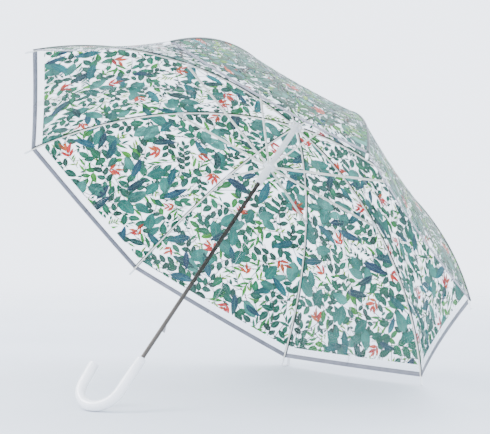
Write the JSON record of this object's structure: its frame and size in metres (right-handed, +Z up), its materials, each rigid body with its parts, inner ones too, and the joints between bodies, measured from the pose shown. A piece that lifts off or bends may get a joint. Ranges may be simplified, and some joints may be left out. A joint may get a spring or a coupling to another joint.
{
  "type": "clear umbrella",
  "caption": "Clear film umbrella with a botanical print, steel shaft, sliding runner, folding ribs and a white crook handle, standing open on its crook and on rib tips.",
  "frame": {"origin": "on the floor, at the centre of the open umbrella's box", "axes": "+Z up from the floor; the shaft lies in the YZ plane and runs from the crook at -Y up to the ferrule at +Y; +X along the hem edge between the two tips that stand on the floor"},
  "size_m": [0.9456, 0.6929, 0.6691],
  "materials": {
    "film_clear": "clear flexible film, printed on the outside with leaves and flowers",
    "handle_white": "glossy white moulded plastic",
    "fitting_white": "satin white moulded plastic",
    "rib_ivory": "ivory glass-fibre rod and bar",
    "shaft_steel": "polished plated steel"
  },
  "bodies": {
    "frame": {"shaft_tube": "shaft_steel", "crook_handle": "handle_white", "crown_notch": "fitting_white", "crown_wire": "shaft_steel", "ferrule": "fitting_white", "stop_sleeve": "fitting_white", "canopy_washer": "film_clear"},
    "runner": {"runner": "fitting_white"},
    "upper_catch": {"upper_catch": "shaft_steel"},
    "lower_catch": {"lower_catch": "shaft_steel"},
    "rib_1_arm": {"rib_1": "rib_ivory", "rib_tip_1": "fitting_white", "rib_clip_1": "fitting_white"},
    "stretcher_1_bar": {"stretcher_1": "rib_ivory"},
    "gore_1_left_half": {"gore_left_1": "film_clear"},
    "gore_1_right_half": {"gore_right_1": "film_clear"},
    "rib_2_arm": {"rib_2": "rib_ivory", "rib_tip_2": "fitting_white", "rib_clip_2": "fitting_white"},
    "stretcher_2_bar": {"stretcher_2": "rib_ivory"},
    "gore_2_left_half": {"gore_left_2": "film_clear"},
    "gore_2_right_half": {"gore_right_2": "film_clear"},
    "rib_3_arm": {"rib_3": "rib_ivory", "rib_tip_3": "fitting_white", "rib_clip_3": "fitting_white"},
    "stretcher_3_bar": {"stretcher_3": "rib_ivory"},
    "gore_3_left_half": {"gore_left_3": "film_clear"},
    "gore_3_right_half": {"gore_right_3": "film_clear", "tie_strap": "film_clear", "strap_snap": "fitting_white"},
    "rib_4_arm": {"rib_4": "rib_ivory", "rib_tip_4": "fitting_white", "rib_clip_4": "fitting_white"},
    "stretcher_4_bar": {"stretcher_4": "rib_ivory"},
    "gore_4_left_half": {"gore_left_4": "film_clear"},
    "gore_4_right_half": {"gore_right_4": "film_clear"},
    "rib_5_arm": {"rib_5": "rib_ivory", "rib_tip_5": "fitting_white", "rib_clip_5": "fitting_white"},
    "stretcher_5_bar": {"stretcher_5": "rib_ivory"},
    "gore_5_left_half": {"gore_left_5": "film_clear"},
    "gore_5_right_half": {"gore_right_5": "film_clear"},
    "rib_6_arm": {"rib_6": "rib_ivory", "rib_tip_6": "fitting_white", "rib_clip_6": "fitting_white"},
    "stretcher_6_bar": {"stretcher_6": "rib_ivory"},
    "gore_6_left_half": {"gore_left_6": "film_clear"},
    "gore_6_right_half": {"gore_right_6": "film_clear"},
    "rib_7_arm": {"rib_7": "rib_ivory", "rib_tip_7": "fitting_white", "rib_clip_7": "fitting_white"},
    "stretcher_7_bar": {"stretcher_7": "rib_ivory"},
    "gore_7_left_half": {"gore_left_7": "film_clear"},
    "gore_7_right_half": {"gore_right_7": "film_clear"},
    "rib_8_arm": {"rib_8": "rib_ivory", "rib_tip_8": "fitting_white", "rib_clip_8": "fitting_white"},
    "stretcher_8_bar": {"stretcher_8": "rib_ivory"},
    "gore_8_left_half": {"gore_left_8": "film_clear"},
    "gore_8_right_half": {"gore_right_8": "film_clear"}
  },
  "joints": [
    {"name": "runner_slide", "type": "slide", "parent": "frame", "child": "runner", "axis": [0, -0.6915, -0.7224], "range_m": [0, 0.374], "deforming": ["upper_catch", "lower_catch", "gore_left_1", "gore_right_1", "gore_left_2", "gore_right_2", "gore_left_3", "gore_right_3", "gore_left_4", "gore_right_4", "gore_left_5", "gore_right_5", "gore_left_6", "gore_right_6", "gore_left_7", "gore_right_7", "gore_left_8", "gore_right_8", "tie_strap"]},
    {"name": "upper_catch_press", "type": "hinge", "parent": "frame", "child": "upper_catch", "pos_m": [0.00115, 0.06212, 0.39472], "axis": [0.8192, -0.4144, 0.3966], "range_deg": [0, 9], "stiffness_Nm_per_rad": 0.6},
    {"name": "lower_catch_press", "type": "hinge", "parent": "frame", "child": "lower_catch", "pos_m": [0.00115, -0.16012, 0.16253], "axis": [-0.8192, 0.4144, -0.3966], "range_deg": [0, 9], "stiffness_Nm_per_rad": 0.6},
    {"name": "rib_1_fold", "type": "hinge", "parent": "frame", "child": "rib_1_arm", "pos_m": [0.00831, 0.17703, 0.51216], "axis": [-0.3827, 0.6674, -0.6388], "range_deg": [0, 60.33]},
    {"name": "stretcher_1_fold", "type": "hinge", "parent": "rib_1_arm", "child": "stretcher_1_bar", "pos_m": [0.22696, 0.2042, 0.40956], "axis": [0.3827, -0.6674, 0.6388], "range_deg": [0, 121.98]},
    {"name": "gore_1_left_pleat", "type": "hinge", "parent": "rib_1_arm", "child": "gore_1_left_half", "pos_m": [0.00831, 0.17703, 0.51216], "axis": [0.8256, -0.0633, -0.5607], "range_deg": [0, 62.9]},
    {"name": "gore_1_right_pleat", "type": "hinge", "parent": "rib_1_arm", "child": "gore_1_right_half", "pos_m": [0.00831, 0.17703, 0.51216], "axis": [-0.8256, 0.0633, 0.5607], "range_deg": [0, 62.9]},
    {"name": "rib_2_fold", "type": "hinge", "parent": "frame", "child": "rib_2_arm", "pos_m": [0.00344, 0.18055, 0.50879], "axis": [-0.9239, 0.2765, -0.2646], "range_deg": [0, 60.33]},
    {"name": "stretcher_2_fold", "type": "hinge", "parent": "rib_2_arm", "child": "stretcher_2_bar", "pos_m": [0.09401, 0.30024, 0.31763], "axis": [0.9239, -0.2765, 0.2646], "range_deg": [0, 121.98]},
    {"name": "gore_2_left_pleat", "type": "hinge", "parent": "rib_2_arm", "child": "gore_2_left_half", "pos_m": [0.00344, 0.18055, 0.50879], "axis": [0.342, 0.2861, -0.8951], "range_deg": [0, 62.9]},
    {"name": "gore_2_right_pleat", "type": "hinge", "parent": "rib_2_arm", "child": "gore_2_right_half", "pos_m": [0.00344, 0.18055, 0.50879], "axis": [-0.342, -0.2861, 0.8951], "range_deg": [0, 62.9]},
    {"name": "rib_3_fold", "type": "hinge", "parent": "frame", "child": "rib_3_arm", "pos_m": [-0.00344, 0.18055, 0.50879], "axis": [-0.9239, -0.2765, 0.2646], "range_deg": [0, 60.33]},
    {"name": "stretcher_3_fold", "type": "hinge", "parent": "rib_3_arm", "child": "stretcher_3_bar", "pos_m": [-0.09401, 0.30024, 0.31763], "axis": [0.9239, 0.2765, -0.2646], "range_deg": [0, 121.98]},
    {"name": "gore_3_left_pleat", "type": "hinge", "parent": "rib_3_arm", "child": "gore_3_left_half", "pos_m": [-0.00344, 0.18055, 0.50879], "axis": [-0.342, 0.2861, -0.8951], "range_deg": [0, 62.9]},
    {"name": "gore_3_right_pleat", "type": "hinge", "parent": "rib_3_arm", "child": "gore_3_right_half", "pos_m": [-0.00344, 0.18055, 0.50879], "axis": [0.342, -0.2861, 0.8951], "range_deg": [0, 62.9]},
    {"name": "rib_4_fold", "type": "hinge", "parent": "frame", "child": "rib_4_arm", "pos_m": [-0.00831, 0.17703, 0.51216], "axis": [-0.3827, -0.6674, 0.6388], "range_deg": [0, 60.33]},
    {"name": "stretcher_4_fold", "type": "hinge", "parent": "rib_4_arm", "child": "stretcher_4_bar", "pos_m": [-0.22696, 0.2042, 0.40956], "axis": [0.3827, 0.6674, -0.6388], "range_deg": [0, 121.98]},
    {"name": "gore_4_left_pleat", "type": "hinge", "parent": "rib_4_arm", "child": "gore_4_left_half", "pos_m": [-0.00831, 0.17703, 0.51216], "axis": [-0.8256, -0.0633, -0.5607], "range_deg": [0, 62.9]},
    {"name": "gore_4_right_pleat", "type": "hinge", "parent": "rib_4_arm", "child": "gore_4_right_half", "pos_m": [-0.00831, 0.17703, 0.51216], "axis": [0.8256, 0.0633, 0.5607], "range_deg": [0, 62.9]},
    {"name": "rib_5_fold", "type": "hinge", "parent": "frame", "child": "rib_5_arm", "pos_m": [-0.00831, 0.17206, 0.51692], "axis": [0.3827, -0.6674, 0.6388], "range_deg": [0, 60.33]},
    {"name": "stretcher_5_fold", "type": "hinge", "parent": "rib_5_arm", "child": "stretcher_5_bar", "pos_m": [-0.22696, 0.06837, 0.53958], "axis": [-0.3827, 0.6674, -0.6388], "range_deg": [0, 121.98]},
    {"name": "gore_5_left_pleat", "type": "hinge", "parent": "rib_5_arm", "child": "gore_5_left_half", "pos_m": [-0.00831, 0.17206, 0.51692], "axis": [-0.8256, -0.5574, -0.0877], "range_deg": [0, 62.9]},
    {"name": "gore_5_right_pleat", "type": "hinge", "parent": "rib_5_arm", "child": "gore_5_right_half", "pos_m": [-0.00831, 0.17206, 0.51692], "axis": [0.8256, 0.5574, 0.0877], "range_deg": [0, 62.9]},
    {"name": "rib_6_fold", "type": "hinge", "parent": "frame", "child": "rib_6_arm", "pos_m": [-0.00344, 0.16854, 0.52029], "axis": [0.9239, -0.2765, 0.2646], "range_deg": [0, 60.33]},
    {"name": "stretcher_6_fold", "type": "hinge", "parent": "rib_6_arm", "child": "stretcher_6_bar", "pos_m": [-0.09401, -0.02768, 0.63151], "axis": [-0.9239, 0.2765, -0.2646], "range_deg": [0, 121.98]},
    {"name": "gore_6_left_pleat", "type": "hinge", "parent": "rib_6_arm", "child": "gore_6_left_half", "pos_m": [-0.00344, 0.16854, 0.52029], "axis": [-0.342, -0.9067, 0.2467], "range_deg": [0, 62.9]},
    {"name": "gore_6_right_pleat", "type": "hinge", "parent": "rib_6_arm", "child": "gore_6_right_half", "pos_m": [-0.00344, 0.16854, 0.52029], "axis": [0.342, 0.9067, -0.2467], "range_deg": [0, 62.9]},
    {"name": "rib_7_fold", "type": "hinge", "parent": "frame", "child": "rib_7_arm", "pos_m": [0.00344, 0.16854, 0.52029], "axis": [0.9239, 0.2765, -0.2646], "range_deg": [0, 60.33]},
    {"name": "stretcher_7_fold", "type": "hinge", "parent": "rib_7_arm", "child": "stretcher_7_bar", "pos_m": [0.09401, -0.02768, 0.63151], "axis": [-0.9239, -0.2765, 0.2646], "range_deg": [0, 121.98]},
    {"name": "gore_7_left_pleat", "type": "hinge", "parent": "rib_7_arm", "child": "gore_7_left_half", "pos_m": [0.00344, 0.16854, 0.52029], "axis": [0.342, -0.9067, 0.2467], "range_deg": [0, 62.9]},
    {"name": "gore_7_right_pleat", "type": "hinge", "parent": "rib_7_arm", "child": "gore_7_right_half", "pos_m": [0.00344, 0.16854, 0.52029], "axis": [-0.342, 0.9067, -0.2467], "range_deg": [0, 62.9]},
    {"name": "rib_8_fold", "type": "hinge", "parent": "frame", "child": "rib_8_arm", "pos_m": [0.00831, 0.17206, 0.51692], "axis": [0.3827, 0.6674, -0.6388], "range_deg": [0, 60.33]},
    {"name": "stretcher_8_fold", "type": "hinge", "parent": "rib_8_arm", "child": "stretcher_8_bar", "pos_m": [0.22696, 0.06837, 0.53958], "axis": [-0.3827, -0.6674, 0.6388], "range_deg": [0, 121.98]},
    {"name": "gore_8_left_pleat", "type": "hinge", "parent": "rib_8_arm", "child": "gore_8_left_half", "pos_m": [0.00831, 0.17206, 0.51692], "axis": [0.8256, -0.5574, -0.0877], "range_deg": [0, 62.9]},
    {"name": "gore_8_right_pleat", "type": "hinge", "parent": "rib_8_arm", "child": "gore_8_right_half", "pos_m": [0.00831, 0.17206, 0.51692], "axis": [-0.8256, 0.5574, 0.0877], "range_deg": [0, 62.9]}
  ],
  "couplings": [
    {"joint": "rib_1_fold", "follows": "runner_slide", "rad_per_m": 2.8154},
    {"joint": "stretcher_1_fold", "follows": "runner_slide", "rad_per_m": 5.6924},
    {"joint": "gore_1_left_pleat", "follows": "runner_slide", "rad_per_m": 2.9353},
    {"joint": "gore_1_right_pleat", "follows": "runner_slide", "rad_per_m": 2.9353},
    {"joint": "rib_2_fold", "follows": "runner_slide", "rad_per_m": 2.8154},
    {"joint": "stretcher_2_fold", "follows": "runner_slide", "rad_per_m": 5.6924},
    {"joint": "gore_2_left_pleat", "follows": "runner_slide", "rad_per_m": 2.9353},
    {"joint": "gore_2_right_pleat", "follows": "runner_slide", "rad_per_m": 2.9353},
    {"joint": "rib_3_fold", "follows": "runner_slide", "rad_per_m": 2.8154},
    {"joint": "stretcher_3_fold", "follows": "runner_slide", "rad_per_m": 5.6924},
    {"joint": "gore_3_left_pleat", "follows": "runner_slide", "rad_per_m": 2.9353},
    {"joint": "gore_3_right_pleat", "follows": "runner_slide", "rad_per_m": 2.9353},
    {"joint": "rib_4_fold", "follows": "runner_slide", "rad_per_m": 2.8154},
    {"joint": "stretcher_4_fold", "follows": "runner_slide", "rad_per_m": 5.6924},
    {"joint": "gore_4_left_pleat", "follows": "runner_slide", "rad_per_m": 2.9353},
    {"joint": "gore_4_right_pleat", "follows": "runner_slide", "rad_per_m": 2.9353},
    {"joint": "rib_5_fold", "follows": "runner_slide", "rad_per_m": 2.8154},
    {"joint": "stretcher_5_fold", "follows": "runner_slide", "rad_per_m": 5.6924},
    {"joint": "gore_5_left_pleat", "follows": "runner_slide", "rad_per_m": 2.9353},
    {"joint": "gore_5_right_pleat", "follows": "runner_slide", "rad_per_m": 2.9353},
    {"joint": "rib_6_fold", "follows": "runner_slide", "rad_per_m": 2.8154},
    {"joint": "stretcher_6_fold", "follows": "runner_slide", "rad_per_m": 5.6924},
    {"joint": "gore_6_left_pleat", "follows": "runner_slide", "rad_per_m": 2.9353},
    {"joint": "gore_6_right_pleat", "follows": "runner_slide", "rad_per_m": 2.9353},
    {"joint": "rib_7_fold", "follows": "runner_slide", "rad_per_m": 2.8154},
    {"joint": "stretcher_7_fold", "follows": "runner_slide", "rad_per_m": 5.6924},
    {"joint": "gore_7_left_pleat", "follows": "runner_slide", "rad_per_m": 2.9353},
    {"joint": "gore_7_right_pleat", "follows": "runner_slide", "rad_per_m": 2.9353},
    {"joint": "rib_8_fold", "follows": "runner_slide", "rad_per_m": 2.8154},
    {"joint": "stretcher_8_fold", "follows": "runner_slide", "rad_per_m": 5.6924},
    {"joint": "gore_8_left_pleat", "follows": "runner_slide", "rad_per_m": 2.9353},
    {"joint": "gore_8_right_pleat", "follows": "runner_slide", "rad_per_m": 2.9353}
  ]
}
